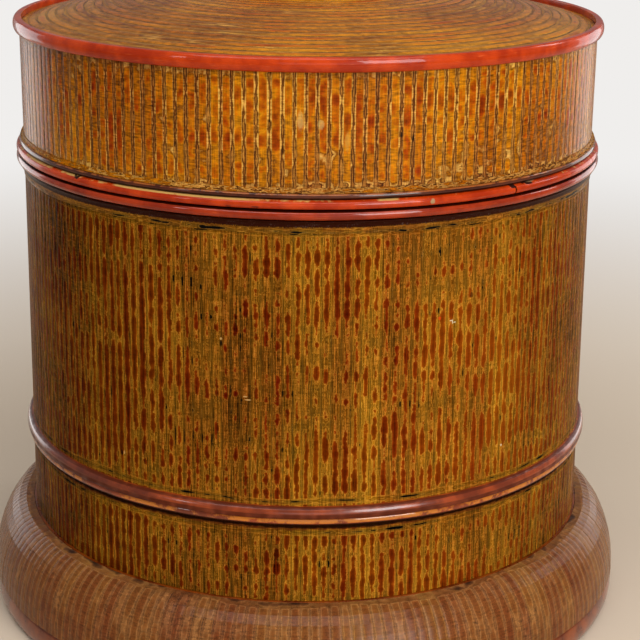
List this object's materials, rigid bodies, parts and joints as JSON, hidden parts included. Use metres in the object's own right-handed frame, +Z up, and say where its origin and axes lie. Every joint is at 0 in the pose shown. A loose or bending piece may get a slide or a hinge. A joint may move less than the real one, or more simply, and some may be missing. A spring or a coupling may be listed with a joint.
{
  "type": "lidded storage bin",
  "caption": "Round lacquered bamboo storage bin with slatted walls, red rim hoops, a flared hollow foot and a lift-off lid.",
  "frame": {"origin": "on the floor, at the middle of the foot's underside", "axes": "+Z up along the bin's axis of rotation, out through the middle of the lid"},
  "size_m": [0.562, 0.562, 0.5419],
  "materials": {
    "ochre_slats": "ochre lacquer rubbed through to dark red on bamboo slats, polished",
    "golden_slats": "golden lacquer rubbed through to orange on bamboo slats, polished",
    "red_lacquer": "plain vermilion lacquer, glossy, worn at the edges",
    "brown_lacquer": "red-brown lacquer, glossy",
    "dark_lacquer": "near-black brown lacquer, satin"
  },
  "bodies": {
    "bin": {"foot_hoop": "brown_lacquer", "foot_moulding": "brown_lacquer", "base_disc": "dark_lacquer", "inner_base_hoop": "red_lacquer", "body_slat_wall": "ochre_slats", "lower_ring": "brown_lacquer", "body_rim_ring": "red_lacquer", "rim_fillet": "dark_lacquer", "body_collar": "dark_lacquer"},
    "lid": {"lid_rim_ring": "red_lacquer", "lid_bead": "dark_lacquer", "lid_cove": "golden_slats", "lid_slat_wall": "golden_slats", "lid_liner": "dark_lacquer", "lid_shoulder_ring": "red_lacquer", "lid_crown": "golden_slats", "lid_crown_ring": "red_lacquer", "lid_boss": "golden_slats"}
  },
  "joints": [
    {"name": "lid_lift", "type": "slide", "parent": "bin", "child": "lid", "axis": [0, 0, 1], "range_m": [0, 0.15]}
  ]
}
